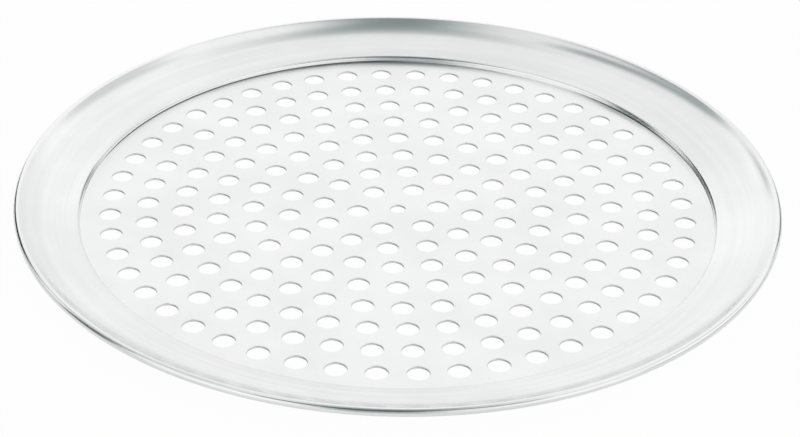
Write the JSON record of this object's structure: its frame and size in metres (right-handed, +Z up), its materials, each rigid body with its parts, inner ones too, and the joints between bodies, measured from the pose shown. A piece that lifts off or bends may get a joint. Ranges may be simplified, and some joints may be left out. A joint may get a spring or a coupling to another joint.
{
  "type": "pizza pan",
  "caption": "Round perforated aluminium pizza pan with a flat bottom, rings of punched holes, a low step, a wide sloping rim and a rolled edge.",
  "frame": {"origin": "centre of the flat underside, on the surface that the pan stands on", "axes": "+Z up along the axis of the pan; +X through the first hole of the innermost ring"},
  "size_m": [0.3556, 0.3556, 0.0131],
  "materials": {
    "aluminium": "bare satin aluminium, milled bottom and spun rim"
  },
  "bodies": {
    "root": {"pan": "aluminium"}
  },
  "joints": []
}
